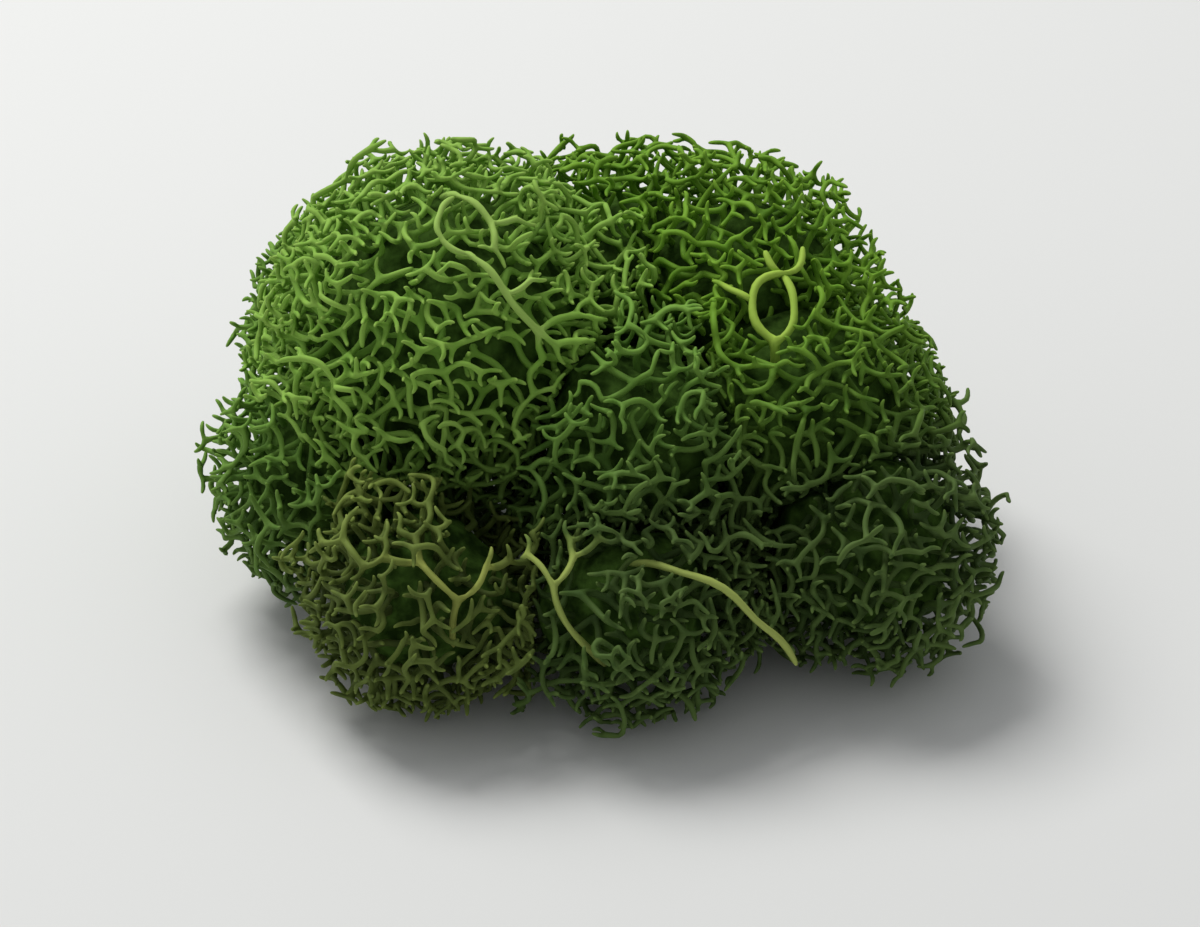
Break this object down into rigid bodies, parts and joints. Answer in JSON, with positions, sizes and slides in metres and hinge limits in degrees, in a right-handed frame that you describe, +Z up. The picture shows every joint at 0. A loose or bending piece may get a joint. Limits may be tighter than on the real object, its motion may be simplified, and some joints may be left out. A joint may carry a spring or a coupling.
{
  "type": "reindeer moss clump",
  "caption": "Rounded cushion of preserved reindeer moss: lichens side by side, each a short stem with a round head of finely forked green branches, resting on a surface.",
  "frame": {"origin": "on the surface the clump rests on, under the middle of its extents", "axes": "+X along the clump's width, +Y to its back, +Z up from the feet to the highest head"},
  "size_m": [0.0794, 0.0666, 0.0474],
  "materials": {
    "lichen": "matt dyed green lichen tissue, a little lighter and yellower at the tips and dark towards the stems"
  },
  "bodies": {
    "root": {"podetium_crown": "lichen", "podetium_back": "lichen", "podetium_right_back": "lichen", "podetium_right": "lichen", "podetium_front": "lichen", "podetium_left_back": "lichen", "podetium_left_low": "lichen", "podetium_front_left_low": "lichen", "podetium_front_low": "lichen", "podetium_right_front_low": "lichen", "podetium_right_low": "lichen", "podetium_back_low": "lichen"}
  },
  "joints": []
}
